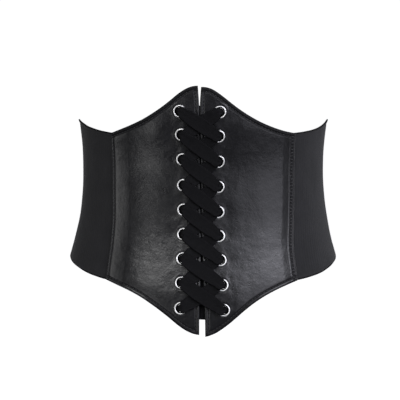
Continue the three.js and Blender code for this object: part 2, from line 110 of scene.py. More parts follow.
# ----------------------------------------------------------------- table lookup
def along(table, key, name, value):
    x, y = np.asarray(table[key], float), np.asarray(table[name], float)
    if x[0] > x[-1]:
        x, y = x[::-1], y[::-1]
    v = np.clip(np.asarray(value, float), x[0], x[-1])
    h = np.diff(x)
    slope = np.diff(y) / h
    tangent = np.empty_like(y)
    tangent[0], tangent[-1] = slope[0], slope[-1]
    tangent[1:-1] = (slope[:-1] * h[1:] + slope[1:] * h[:-1]) / (h[:-1] + h[1:])
    i = np.clip(np.searchsorted(x, v, side="left") - 1, 0, len(x) - 2)
    t = (v - x[i]) / h[i]
    t2, t3 = t * t, t * t * t
    return (
        (2 * t3 - 3 * t2 + 1) * y[i] + (t3 - 2 * t2 + t) * h[i] * tangent[i]
        + (3 * t2 - 2 * t3) * y[i + 1] + (t3 - t2) * h[i] * tangent[i + 1]
    )


def step(a, b, x):
    t = np.clip((x - a) / (b - a), 0, 1)
    return t * t * (3 - 2 * t)


def hump(x, centre, reach):
    return np.exp(-(((x - centre) / reach) ** 2))


def bend(x, k=0.35):
    """Zero below 0, x above it, with a soft corner."""
    return k * np.logaddexp(0, x / k)


def unit(v):
    return v / np.maximum(np.linalg.norm(v, axis=-1, keepdims=True), 1e-12)


def noise(x, y, seed):
    """Smooth noise from -1 to 1 on a unit lattice."""
    def corner(i, j):
        n = (i * 374761393 + j * 668265263 + seed * 1442695041) & 0x7FFFFFFF
        n = ((n ^ (n >> 13)) * 1274126177) & 0x7FFFFFFF
        return ((n ^ (n >> 16)) & 0xFFFF) / 32767.5 - 1
    i, j = np.floor(x).astype(np.int64), np.floor(y).astype(np.int64)
    u, v = x - i, y - j
    u, v = u * u * u * (u * (6 * u - 15) + 10), v * v * v * (v * (6 * v - 15) + 10)
    return (
        (corner(i, j) * (1 - u) + corner(i + 1, j) * u) * (1 - v)
        + (corner(i, j + 1) * (1 - u) + corner(i + 1, j + 1) * u) * v
    )


# --------------------------------------------------------------- body surface
def oval(angle, z):
    angle, z = np.broadcast_arrays(np.asarray(angle, float), np.asarray(z, float))
    a = along(SECTIONS, "z", "half_width", z)
    s, c = np.sin(angle), np.cos(angle)
    b = np.where(c > 0, along(SECTIONS, "z", "front_depth", z), along(SECTIONS, "z", "back_depth", z))
    r = (np.abs(s / a) ** SQUARENESS + np.abs(c / b) ** SQUARENESS) ** (-1 / SQUARENESS)
    return np.stack([r * s, -r * c, z], -1)


def surface_frame(angle, z):
    side = unit(oval(angle + 1e-3, z) - oval(angle - 1e-3, z))
    up = unit(oval(angle, z + 0.5) - oval(angle, z - 0.5))
    return oval(angle, z), side, up, unit(np.cross(side, up))


def surface(angle, z, offset):
    point, _, _, out = surface_frame(angle, z)
    return point + out * np.asarray(offset, float)[..., None]


def angle_at_x(x, z, offset=PANEL_OUTER):
    x, z, offset = np.broadcast_arrays(*(np.asarray(v, float) for v in (x, z, offset)))
    low, high = np.full(x.shape, -1.4), np.full(x.shape, 1.4)
    for _ in range(34):
        mid = (low + high) / 2
        less = surface(mid, z, offset)[..., 0] < x
        low, high = np.where(less, mid, low), np.where(less, high, mid)
    return (low + high) / 2


# ------------------------------------------------------------- mesh and object
def piece(name, points, faces, materials, nodes=(), shades=None, uv=None, smooth=True):
    """A shown piece at the origin, its points in millimetres."""
    mesh = bpy.data.meshes.new(name)
    mesh.from_pydata((np.asarray(points) * MM).tolist(), [], faces)
    mesh.polygons.foreach_set("use_smooth", [smooth] * len(mesh.polygons))
    for m in materials:
        mesh.materials.append(m)
    if shades is not None:
        mesh.polygons.foreach_set("material_index", shades)
    if uv is not None:
        layer = mesh.uv_layers.new(name="Cloth")
        index = np.empty(len(mesh.loops), np.int32)
        mesh.loops.foreach_get("vertex_index", index)
        layer.data.foreach_set("uv", (np.asarray(uv, np.float32)[index] * MM).ravel())
    mesh.validate()
    mesh.update()
    obj = bpy.data.objects.new(name, mesh)
    bpy.context.scene.collection.objects.link(obj)
    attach(obj, "root")
    if nodes:
        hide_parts(*nodes)
    return obj


def grid_faces(ids, flip=False):
    a, b, c, d = ids[:-1, :-1].ravel(), ids[1:, :-1].ravel(), ids[1:, 1:].ravel(), ids[:-1, 1:].ravel()
    return (np.stack([a, d, c, b], 1) if flip else np.stack([a, b, c, d], 1)).tolist()


# ------------------------------------------------------------------- materials
class Nodes:
    """A small helper for one material's nodes."""

    def __init__(self, name):
        self.material = bpy.data.materials.new(name)
        self.material.use_nodes = True
        self.tree = self.material.node_tree
        self.shader = self.tree.nodes["Principled BSDF"]

    def add(self, kind, inputs=None, **settings):
        n = self.tree.nodes.new(kind)
        for k, v in settings.items():
            setattr(n, k, v)
        for k, v in (inputs or {}).items():
            if isinstance(v, bpy.types.NodeSocket):
                self.tree.links.new(v, n.inputs[k])
            else:
                n.inputs[k].default_value = v
        return n

    def link(self, out, name):
        self.tree.links.new(out, self.shader.inputs[name])

    def set(self, **values):
        for k, v in values.items():
            self.shader.inputs[k.replace("_", " ")].default_value = v

    def noise(self, vector, scale, detail=3.0, roughness=0.55):
        n = self.add("ShaderNodeTexNoise", {"Vector": vector, "Scale": scale, "Detail": detail, "Roughness": roughness})
        return n.outputs["Fac"]

    def math(self, operation, a, b=0.5):
        return self.add("ShaderNodeMath", {0: a, 1: b}, operation=operation).outputs[0]

    def spread(self, value, low, high, to_low, to_high):
        n = self.add("ShaderNodeMapRange", {"Value": value, "From Min": low, "From Max": high, "To Min": to_low, "To Max": to_high})
        return n.outputs["Result"]

    def bump(self, height, strength, distance, before=None):
        inputs = {"Height": height, "Strength": strength, "Distance": distance}
        if before is not None:
            inputs["Normal"] = before
        return self.add("ShaderNodeBump", inputs).outputs["Normal"]

    def tint(self, value, dark, light):
        n = self.add("ShaderNodeMix", {"Factor": value}, data_type="RGBA")
        n.inputs[6].default_value, n.inputs[7].default_value = (*dark, 1), (*light, 1)
        return n.outputs[2]


def leather_material(name, shine, share):
    m = Nodes(name)
    at = m.add("ShaderNodeTexCoord").outputs["Object"]
    mottle = m.noise(at, 90, 4, 0.6)
    fine = m.noise(at, 420, 5, 0.6)
    cells = m.add("ShaderNodeTexVoronoi", {"Vector": at, "Scale": 950.0, "Randomness": 1.0}, feature="DISTANCE_TO_EDGE").outputs["Distance"]
    creases = m.add("ShaderNodeTexVoronoi", {"Vector": at, "Scale": 330.0, "Randomness": 1.0}, feature="DISTANCE_TO_EDGE").outputs["Distance"]
    m.link(m.tint(m.spread(mottle, 0.3, 0.7, 0, 1), (0.0042 * share, 0.0042 * share, 0.0050 * share), (0.0070 * share, 0.0070 * share, 0.0082 * share)), "Base Color")
    m.link(m.spread(m.math("ADD", m.math("MULTIPLY", mottle, 0.6), m.math("MULTIPLY", fine, 0.4)), 0.35, 0.65, 0.63 - shine, 0.71 - shine), "Roughness")
    m.set(Specular_IOR_Level=0.06 + shine)
    n = m.bump(m.noise(at, 160, 3, 0.5), 0.42, 0.0006)
    n = m.bump(m.spread(creases, 0, 0.22, 0, 1), 0.16, 0.00012, n)
    n = m.bump(m.spread(cells, 0, 0.25, 0, 1), 0.26, 0.00007, n)
    n = m.bump(fine, 0.30, 0.00018, n)
    m.link(n, "Normal")
    return m.material


def backing_material():
    m = Nodes("leather_back")
    at = m.add("ShaderNodeTexCoord").outputs["Object"]
    nap = m.noise(at, 700, 4, 0.65)
    m.link(m.tint(m.noise(at, 120, 4, 0.6), (0.012, 0.012, 0.013), (0.022, 0.022, 0.024)), "Base Color")
    m.link(m.spread(nap, 0.3, 0.7, 0.82, 0.95), "Roughness")
    m.set(Specular_IOR_Level=0.2)
    m.link(m.bump(nap, 0.5, 0.0003), "Normal")
    return m.material


def elastic_material(name, share):
    m = Nodes(name)
    uv = m.add("ShaderNodeUVMap", uv_map="Cloth").outputs["UV"]
    at = m.add("ShaderNodeTexCoord").outputs["Object"]
    parts = m.add("ShaderNodeSeparateXYZ", {"Vector": uv})
    pi = 2 * math.pi
    weft = m.math("SINE", m.math("MULTIPLY", parts.outputs["Y"], pi / 0.00085))
    warp = m.math("SINE", m.math("MULTIPLY", parts.outputs["X"], pi / 0.00110))
    weave = m.math("MULTIPLY", weft, warp)
    cloud = m.noise(at, 60, 4, 0.6)
    m.link(m.tint(m.spread(cloud, 0.3, 0.7, 0, 1), (0.0152 * share, 0.0152 * share, 0.0164 * share), (0.0198 * share, 0.0198 * share, 0.0212 * share)), "Base Color")
    m.link(m.spread(m.noise(at, 500, 3, 0.6), 0.3, 0.7, 0.68, 0.80), "Roughness")
    m.set(Specular_IOR_Level=0.11 * share, Sheen_Weight=0.10 * share, Sheen_Roughness=0.40)
    n = m.bump(weave, 0.35, 0.00010)
    n = m.bump(m.noise(at, 900, 3, 0.6), 0.3, 0.00012, n)
    m.link(n, "Normal")
    return m.material


def ribbon_material():
    m = Nodes("ribbon")
    uv = m.add("ShaderNodeUVMap", uv_map="Cloth").outputs["UV"]
    at = m.add("ShaderNodeTexCoord").outputs["Object"]
    parts = m.add("ShaderNodeSeparateXYZ", {"Vector": uv})
    pi = 2 * math.pi
    weft = m.math("SINE", m.math("MULTIPLY", parts.outputs["Y"], pi / 0.00062))
    warp = m.math("SINE", m.math("MULTIPLY", parts.outputs["X"], pi / 0.00075))
    m.link(m.tint(m.noise(at, 220, 3, 0.6), (0.0054, 0.0054, 0.0060), (0.0084, 0.0084, 0.0091)), "Base Color")
    m.link(m.spread(m.noise(at, 800, 3, 0.6), 0.3, 0.7, 0.62, 0.76), "Roughness")
    m.set(Specular_IOR_Level=0.035)
    n = m.bump(m.math("ADD", weft, m.math("MULTIPLY", warp, 0.5)), 0.3, 0.00007)
    n = m.bump(m.noise(at, 1200, 2, 0.6), 0.25, 0.00008, n)
    m.link(n, "Normal")
    return m.material


def metal_material(name, share, low):
    m = Nodes(name)
    at = m.add("ShaderNodeTexCoord").outputs["Object"]
    haze = m.noise(at, 900, 3, 0.6)
    m.link(m.tint(haze, (0.78 * share, 0.78 * share, 0.77 * share), (0.88 * share, 0.88 * share, 0.87 * share)), "Base Color")
    m.link(m.spread(haze, 0.3, 0.7, low, low + 0.10), "Roughness")
    m.set(Metallic=1.0)
    m.link(m.bump(m.noise(at, 2200, 2, 0.5), 0.10, 0.00005), "Normal")
    return m.material


def thread_material():
    m = Nodes("thread")
    at = m.add("ShaderNodeTexCoord").outputs["Object"]
    ply = m.noise(at, 2600, 2, 0.5)
    m.link(m.tint(ply, (0.010, 0.010, 0.011), (0.022, 0.022, 0.024)), "Base Color")
    m.link(m.spread(ply, 0.3, 0.7, 0.50, 0.62), "Roughness")
    m.set(Specular_IOR_Level=0.42)
    m.link(m.bump(ply, 0.5, 0.00012), "Normal")
    return m.material


# leather_seam_painted_shade and leather_sewn_painted_shade are darker, duller copies of the leather: partly real
# pressed seam leather, partly painted shade
LEATHER, SEAM_PAINTED_SHADE, SEWN_PAINTED_SHADE = (leather_material(*q) for q in (("leather", 0.36, 1.0), ("leather_seam_painted_shade", 0.21, 0.9), ("leather_sewn_painted_shade", 0.10, 0.7)))
# elastic_edge_painted_shade is a darker copy of the elastic: painted shade along the band's top and bottom edges
BACKING, ELASTIC, ELASTIC_EDGE_SHADE = backing_material(), elastic_material("elastic", 1.0), elastic_material("elastic_edge_painted_shade", 0.35)
RIBBON, THREAD = ribbon_material(), thread_material()
# metal_inside_painted_shade is a near-black, dull, non-metal copy of the eyelet metal: painted shade on the crown's
# inner slope and in the bore
METAL, METAL_PAINTED_SHADE = metal_material("silver_metal", 1.0, 0.42), metal_material("metal_inside_painted_shade", 0.015, 0.80)
METAL_PAINTED_SHADE.node_tree.nodes["Principled BSDF"].inputs["Metallic"].default_value = 0.0
METAL_PAINTED_SHADE.node_tree.nodes["Principled BSDF"].inputs["Specular IOR Level"].default_value = 0.03

# ---------------------------------------------------------------- front panels
BAND = np.array([0, 0.1, 0.25, 0.45, 0.7, 1.0, 1.4, 1.8, 2.2, 2.6, 3.0, 3.3, 3.6, 3.9, 4.2, 4.5, 4.8, 5.2, 5.7, 6.3, 7.0, 7.8])
SEAM_BAND = np.concatenate([[0, 0.1, 0.25, 0.45, 0.7, 1.0], np.arange(1.35, 24.2, 0.42)])
MIDDLE_STEP = 1.15
HOLE_RINGS = (4.2, 4.55, 5.0, 5.6, 6.1, 6.7, 7.4)
HOLE_SIDES = 44
PATCH_REACH = 8.3
HEIGHTS = np.linspace(-165, 90, 1021)


class Panel:
    def __init__(self, side):
        self.side, self.sign = side, -1 if side == "left" else 1
        self.front = angle_at_x(along(FRONT_EDGE, "z", side, HEIGHTS), HEIGHTS)
        self.seam = self.sign * np.radians(along(SIDE_SEAM, "z", side, HEIGHTS))
        some = HEIGHTS[::20]
        f, s = self.front[::20], self.seam[::20]
        t = np.linspace(0, 1, 33)[:, None]
        line = surface(f + (s - f) * t, some + 0 * t, np.full((33, len(some)), PANEL_OUTER))
        self.widths = np.interp(HEIGHTS, some, np.linalg.norm(np.diff(line, axis=0), axis=-1).sum(0))
        rows = len(EYELETS["row"])
        self.eyelets = [(EYELETS[side + "_x"][i], EYELETS[side + "_z"][i]) for i in range(rows)]
        z = np.array([e[1] for e in self.eyelets])
        a = angle_at_x(np.array([e[0] for e in self.eyelets]), z)
        self.eyelet_s = self.at(a, z) * self.width(z)
        self.eyelet_z, self.eyelet_angle = z, a

    def width(self, z):
        return np.interp(z, HEIGHTS, self.widths)

    def angle(self, at, z):
        f, s = np.interp(z, HEIGHTS, self.front), np.interp(z, HEIGHTS, self.seam)
        return f + (s - f) * at

    def at(self, angle, z):
        f, s = np.interp(z, HEIGHTS, self.front), np.interp(z, HEIGHTS, self.seam)
        return (angle - f) / (s - f)

    def edge(self, which, at):
        """Height of the top or bottom edge, and how much longer its slope is than level."""
        z = along(PANEL_OUTLINE, "at", f"{self.side}_{which}", at)
        rise = along(PANEL_OUTLINE, "at", f"{self.side}_{which}", at + 0.01) - along(PANEL_OUTLINE, "at", f"{self.side}_{which}", at - 0.01)
        across = np.clip(at + 0.01, 0, 1) - np.clip(at - 0.01, 0, 1)
        return z, np.sqrt(1 + (rise / (across * self.width(z))) ** 2)

    def distances(self, at, z):
        """How far in from the top, bottom, front and seam edges."""
        top, ts = self.edge("top", at)
        low, ls = self.edge("bottom", at)
        w = self.width(z)
        return (top - z) / ts, (z - low) / ls, at * w, (1 - at) * w

    def relief(self, at, z):
        """Rise of the outer face above its plain height."""
        top, low, front, seam = self.distances(at, z)
        k = 0.5
        d = -k * np.log(np.exp(-top / k) + np.exp(-low / k) + np.exp(-front / k) + 1e-30)
        h = 0.24 * hump(d, 1.6, 1.1) - 0.42 * hump(d, STITCH_LINE, np.where(d < STITCH_LINE, 0.50, 0.95))
        if self.side == "left":
            ridge = 0.10 * (bend(seam - 3.4) - bend(seam - 16.4)) + 0.30 * (1 - np.exp(-np.clip(seam - 3.2, 0, None) / 1.4))
            h += ridge * (1 - step(17.5, 62, seam))
            h += 0.14 * step(0, 0.6, seam) * (1 - step(2.3, 2.8, seam))
            h -= 0.16 * hump(seam, LEFT_SEAM_LINE, 0.5) + 0.34 * hump(seam, 2.9, 0.45)
        else:
            h += 0.215 * (bend(seam - 5.9) - bend(seam - 12.0)) * (1 - step(14, 46, seam))
            h += 0.14 * step(0, 1.0, seam) * (1 - step(5.1, 5.7, seam))
            h -= 0.09 * hump(seam, 5.7, 0.38)
            h -= 0.45 * step(RIGHT_LADDER - 1.1, RIGHT_LADDER - 0.55, seam) * (1 - step(RIGHT_LADDER + 0.55, RIGHT_LADDER + 1.1, seam))
        # the pull of the lacing between its eyelets
        z_up, s_up = self.eyelet_z[::-1], self.eyelet_s[::-1]
        turn = np.interp(z, z_up, np.arange(len(z_up)))
        line = np.interp(z, z_up, s_up)
        h -= 0.17 * np.cos(2 * np.pi * turn) * hump(front, line, 15) * step(0, 7, front)
        for k, (s0, z0) in enumerate(zip(self.eyelet_s, self.eyelet_z)):
            r = np.hypot(front - s0, z - z0)
            phi = np.arctan2(z - z0, front - s0)
            h += 0.16 * hump(r, 7.0, 0.9) - 0.10 * (1 - step(5.2, 6.4, r))
            h += 0.06 * np.cos(6 * phi + k * 1.7) * hump(r, 9.5, 2.6)
        for s0, z0, rise, reach in DENTS[self.side]:
            h += rise * np.exp(-((front - s0) ** 2 + ((z - z0) * 0.8) ** 2) / reach**2)
        n = 3 if self.side == "left" else 11
        h += 0.17 * noise(front / 26, z / 30, n) + 0.070 * noise(front / 11, z / 13, n + 1)
        h += 0.026 * noise(front / 4.6, z / 5.2, n + 2) + 0.008 * noise(front / 2.3, z / 2.4, n + 3)
        return h

    def offsets(self, at, z):
        """Outer and inner offsets of the wall, its edges rounded."""
        top, low, front, seam = self.distances(at, z)
        d = np.clip(np.minimum(np.minimum(top, low), np.minimum(front, seam)), 0, None)
        round_ = np.sqrt(np.clip(1 - (1 - np.clip(d / 0.9, 0, 1)) ** 2, 0, 1))
        fade = step(0.2, 1.4, d)
        mid, half = (PANEL_INNER + PANEL_OUTER) / 2, (PANEL_OUTER - PANEL_INNER) / 2
        k = np.minimum(np.minimum(top, low), front)
        outer = mid + half * round_ + self.relief(at, z) * fade
        inner = mid - half * round_ + 0.22 * hump(k, STITCH_LINE, 0.5) * fade
        return outer, inner

    def grid(self):
        """at and z of every crossing: columns follow the front edge and the seam, rows the top and bottom."""
        side_count = int(round((self.width(0.0) - BAND[-1] - SEAM_BAND[-1]) / MIDDLE_STEP))
        rows_count = int(round((218 - 2 * BAND[-1]) / MIDDLE_STEP))
        t = np.linspace(0, 1, side_count + 1)[1:-1]
        v = np.linspace(0, 1, rows_count + 1)[1:-1]

        def columns(z):
            w = self.width(z)
            first, last = BAND[-1] / w, 1 - SEAM_BAND[-1] / w
            n1, n2 = len(BAND), len(t)
            at = np.empty(z.shape)
            at[:n1] = BAND[:, None] / w[:n1]
            at[n1:n1 + n2] = first[n1:n1 + n2] + (last - first)[n1:n1 + n2] * t[:, None]
            at[n1 + n2:] = 1 - SEAM_BAND[::-1][:, None] / w[n1 + n2:]
            return at

        def rows(at):
            top, ts = self.edge("top", at)
            low, ls = self.edge("bottom", at)
            z = np.empty(at.shape)
            n1, n2 = len(BAND), len(v)
            z[:, :n1] = low[:, :n1] + BAND * ls[:, :n1]
            start, stop = low + BAND[-1] * ls, top - BAND[-1] * ts
            z[:, n1:n1 + n2] = start[:, n1:n1 + n2] + (stop - start)[:, n1:n1 + n2] * v
            z[:, n1 + n2:] = top[:, n1 + n2:] - BAND[::-1] * ts[:, n1 + n2:]
            return z

        shape = (len(BAND) + len(t) + len(SEAM_BAND), 2 * len(BAND) + len(v))
        z = np.full(shape, -30.0)
        for _ in range(5):
            at = columns(z)
            z = rows(at)
        return at, z

    def build(self):
        at, z = self.grid()
        n, m = at.shape
        flat_at, flat_z = [at.ravel()], [z.ravel()]
        ids = np.arange(n * m).reshape(n, m)
        x = surface(self.angle(at, z), z, np.full(at.shape, PANEL_OUTER))[..., 0]
        gone = np.zeros((n - 1, m - 1), bool)
        patches, rims, count = [], [], n * m
        for x0, z0 in self.eyelets:
            near = np.hypot(x - x0, z - z0) < PATCH_REACH
            cells = near[:-1, :-1] | near[1:, :-1] | near[1:, 1:] | near[:-1, 1:]
            gone |= cells
            i, j = np.nonzero(cells)
            quads = np.stack([ids[i, j], ids[i + 1, j], ids[i + 1, j + 1], ids[i, j + 1]], 1)
            pairs = np.concatenate([quads[:, [0, 1]], quads[:, [1, 2]], quads[:, [2, 3]], quads[:, [3, 0]]])
            _, first, uses = np.unique(np.sort(pairs, axis=1), axis=0, return_index=True, return_counts=True)
            border = pairs[first[uses == 1]]
            used = np.unique(border)
            turn = np.arange(HOLE_SIDES) * 2 * np.pi / HOLE_SIDES
            rx = np.concatenate([x0 + r * np.cos(turn + 0.07 * q) for q, r in enumerate(HOLE_RINGS)])
            rz = np.concatenate([z0 + r * np.sin(turn + 0.07 * q) for q, r in enumerate(HOLE_RINGS)])
            fresh = np.arange(len(rx)) + count
            count += len(rx)
            ra = angle_at_x(rx, rz)
            flat_at.append(self.at(ra, rz))
            flat_z.append(rz)
            order = np.concatenate([used, fresh])
            place = {int(g): q for q, g in enumerate(order)}
            flat = [Vector((float(x.ravel()[g]), float(z.ravel()[g]))) for g in used] + [Vector((float(a), float(b))) for a, b in zip(rx, rz)]
            rim = fresh[:HOLE_SIDES]
            edges = [(place[int(a)], place[int(b)]) for a, b in border]
            edges += [(place[int(rim[q])], place[int(rim[(q + 1) % HOLE_SIDES])]) for q in range(HOLE_SIDES)]
            verts, _, tris, origin, _, _ = geometry.delaunay_2d_cdt(flat, edges, [], 1, 1e-6)
            rim_set = set(int(g) for g in rim)
            for tri in tris:
                real = [int(order[origin[q][0]]) for q in tri]
                if not all(g in rim_set for g in real):
                    patches.append(real)
            rims.append(rim)
        at, z = np.concatenate(flat_at), np.concatenate(flat_z)
        outer, inner = self.offsets(at, z)
        angle = self.angle(at, z)
        outside, inside = surface(angle, z, outer), surface(angle, z, inner)
        edge = np.zeros((n, m), bool)
        edge[0], edge[-1], edge[:, 0], edge[:, -1] = True, True, True, True
        edge = np.concatenate([edge.ravel(), np.zeros(count - n * m, bool)])
        outside[edge] = (outside[edge] + inside[edge]) / 2
        back = np.where(edge, np.arange(count), 0)
        back[~edge] = count + np.arange((~edge).sum())
        points = np.concatenate([outside, inside[~edge]])
        keep = ~gone
        quads = np.stack([ids[:-1, :-1][keep], ids[1:, :-1][keep], ids[1:, 1:][keep], ids[:-1, 1:][keep]], 1)
        right = self.sign > 0
        tris = np.array(patches)
        # every face turned to look outward
        a, b, c = (outside[tris[:, q]] for q in range(3))
        away = (np.cross(b - a, c - a) * surface_frame(angle[tris[:, 0]], z[tris[:, 0]])[3]).sum(1)
        tris = np.where((away > 0)[:, None], tris, tris[:, ::-1])
        quads = quads if right else quads[:, ::-1]
        walls = []
        for rim in rims:
            nxt = np.roll(rim, -1)
            walls.append(np.stack([rim, nxt, back[nxt], back[rim]], 1))
        walls = np.concatenate(walls)
        a, b, d = points[walls[:, 0]], points[walls[:, 1]], points[walls[:, 3]]
        centre = np.repeat(np.array([points[r].mean(0) for r in rims]), HOLE_SIDES, axis=0)
        facing = (np.cross(b - a, d - a) * (centre - a)).sum(1)
        walls = np.where((facing > 0)[:, None], walls, walls[:, ::-1])
        faces = quads.tolist() + tris.tolist() + back[quads][:, ::-1].tolist() + back[tris][:, ::-1].tolist() + walls.tolist()
        front_faces = len(quads) + len(tris)
        top, low, front, seam = self.distances(at, z)
        d = np.minimum(np.minimum(top, low), front)
        # Painted shade: the stitch grooves, the left seam groove, the right ladder channel, the top edge band and the
        # bottom edge near the tips get the darker sewn leather
        sewn_painted_shade = (d > STITCH_LINE - 0.5) & (d < STITCH_LINE + 0.9) & (seam > 0.6)
        if self.side == "left":
            sewn_painted_shade |= (seam > 1.9) & (seam < 3.2)
        else:
            sewn_painted_shade |= np.abs(seam - RIGHT_LADDER) < 0.80
        sewn_painted_shade |= (top < STITCH_LINE + 1.5) & (seam > 0.6)
        # Partly real duller seam leather, partly painted shade: the seam strip and the bottom edge near the tips get
        # the darker seam leather
        seam_shade_strip = (seam < 5.4) if self.side == "right" else (seam < 1.2)
        seam_shade_strip |= (low < STITCH_LINE) & (front < 52)
        sewn_painted_shade |= (low < STITCH_LINE) & (front > 9) & (front < 40)
        kind = np.where(sewn_painted_shade, 2, np.where(seam_shade_strip, 3, 0))
        outer_shades = np.concatenate([kind[quads].min(1), kind[tris].min(1)])
        shades = outer_shades.tolist() + [1] * front_faces + [0] * len(walls)
        return piece(f"panel_{self.side}", points, faces, [LEATHER, BACKING, SEWN_PAINTED_SHADE, SEAM_PAINTED_SHADE], [f"front_panel_{self.side}"], shades)

    def line(self, at, z, lift, inward=False):
        """Points and outward directions of a line on the outer or inner face."""
        outer, inner = self.offsets(at, z)
        angle = self.angle(at, z)
        out = surface_frame(angle, z)[3]
        offset = inner - lift if inward else outer + lift
        return surface(angle, z, offset), (-out if inward else out)


PANELS = {side: Panel(side) for side in ("left", "right")}
built = {side: p.build() for side, p in PANELS.items()}


# -------------------------------------------------------------------- stitches
def capsule(length, radius, sides=8):
    """A short round-ended rod along +X: points and faces."""
    ends = [(-0.5, 0.0), (-0.46, 0.55), (-0.36, 0.92), (-0.12, 1.0), (0.12, 1.0), (0.36, 0.92), (0.46, 0.55), (0.5, 0.0)]
    points, faces = [], []
    for k, (x, r) in enumerate(ends):
        if r == 0:
            points.append((x * length, 0, 0))
        else:
            for q in range(sides):
                a = 2 * math.pi * q / sides
                dip = -0.35 * radius * (2 * x) ** 2
                points.append((x * length, r * radius * math.cos(a), r * radius * math.sin(a) + dip))
    first = 1
    for q in range(sides):
        faces.append((0, first + (q + 1) % sides, first + q))
    for ring in range(len(ends) - 3):
        a, b = first + ring * sides, first + (ring + 1) * sides
        for q in range(sides):
            faces.append((a + q, a + (q + 1) % sides, b + (q + 1) % sides, b + q))
    last = first + (len(ends) - 3) * sides
    tip = last + sides
    for q in range(sides):
        faces.append((tip, last + q, last + (q + 1) % sides))
    return np.array(points, float), faces


def rods(places, length, radius, sides=8):
    """One rod at each (point, direction, outward)."""
    base, faces = capsule(length, radius, sides)
    points, all_faces = [], []
    for k, (p, along_, out) in enumerate(places):
        along_ = along_ - out * np.dot(along_, out)
        along_ = along_ / np.linalg.norm(along_)
        side = np.cross(out, along_)
        points.append(p + base[:, :1] * along_ + base[:, 1:2] * side + base[:, 2:3] * out)
        all_faces += [[q + k * len(base) for q in f] for f in faces]
    return np.concatenate(points), all_faces


def spaced(points, outs, pitch):
    """Evenly spaced places along a line of points."""
    run = np.concatenate([[0], np.cumsum(np.linalg.norm(np.diff(points, axis=0), axis=1))])
    count = max(1, int(run[-1] // pitch))
    at = (np.arange(count) + 0.5) * run[-1] / count
    places = []
    for a in at:
        p, q, r = (np.array([np.interp(a + e, run, points[:, k]) for k in range(3)]) for e in (0, -0.4, 0.4))
        n = unit(np.array([np.interp(a, run, outs[:, k]) for k in range(3)]))
        places.append((p, r - q, n))
    return places


def join(parts):
    points, faces, count = [], [], 0
    for p, f in parts:
        points.append(p)
        faces += [[q + count for q in face] for face in f]
        count += len(p)
    return np.concatenate(points), faces


def edge_line(p):
    """at and z of the line of stitches: along the top from the seam, down the front, and along the bottom."""
    inset = STITCH_LINE
    at_front = inset / p.width(0.0)
    at = np.linspace(0.992, at_front, 240)
    z, slope = p.edge("top", at)
    top = (at, z - inset * slope)
    z_low, low_slope = p.edge("bottom", at_front)
    z_front = np.linspace(top[1][-1], z_low + inset * low_slope, 420)[1:-1]
    front = (inset / p.width(z_front), z_front)
    at = at[::-1]
    z, slope = p.edge("bottom", at)
    return [top, front, (at, z + inset * slope)]


for side, p in PANELS.items():
    parts = []
    for inward in (False, True):
        for at, z in edge_line(p):
            points, outs = p.line(at, z, 0.10, inward)
            parts.append(rods(spaced(points, outs, STITCH_PITCH), 2.45, 0.30, 6 if inward else 8))
    z = np.linspace(29.0, -99.0, 300)
    if side == "left":
        at = 1 - LEFT_SEAM_LINE / p.width(z)
        points, outs = p.line(at, z, 0.12)
        parts.append(rods(spaced(points, outs, 2.9), 1.9, 0.40))
    else:
        at = 1 - RIGHT_LADDER / p.width(z)
        points, outs = p.line(at, z, 0.42)
        places = [(q, np.cross(n, d), n) for q, d, n in spaced(points, outs, LADDER_PITCH)]
        parts.append(rods(places, 2.6, 0.48))
    # the seam's thread on the inside, on the elastic
    angle = p.angle(1 - 2.8 / p.width(z), z)
    out = surface_frame(angle, z)[3]
    parts.append(rods(spaced(surface(angle, z, np.full(z.shape, -0.10)), -out, 2.8), 2.2, 0.30, 6))
    points, faces = join(parts)
    piece(f"stitching_{side}", points, faces, [THREAD])

# ---------------------------------------------------------------- elastic band
RIBS = 196
EDGE_ROWS = np.array([0, 0.08, 0.22, 0.45, 0.8, 1.3, 1.9, 2.5, 3.0, 3.5, 4.1, 5.0, 6.2])


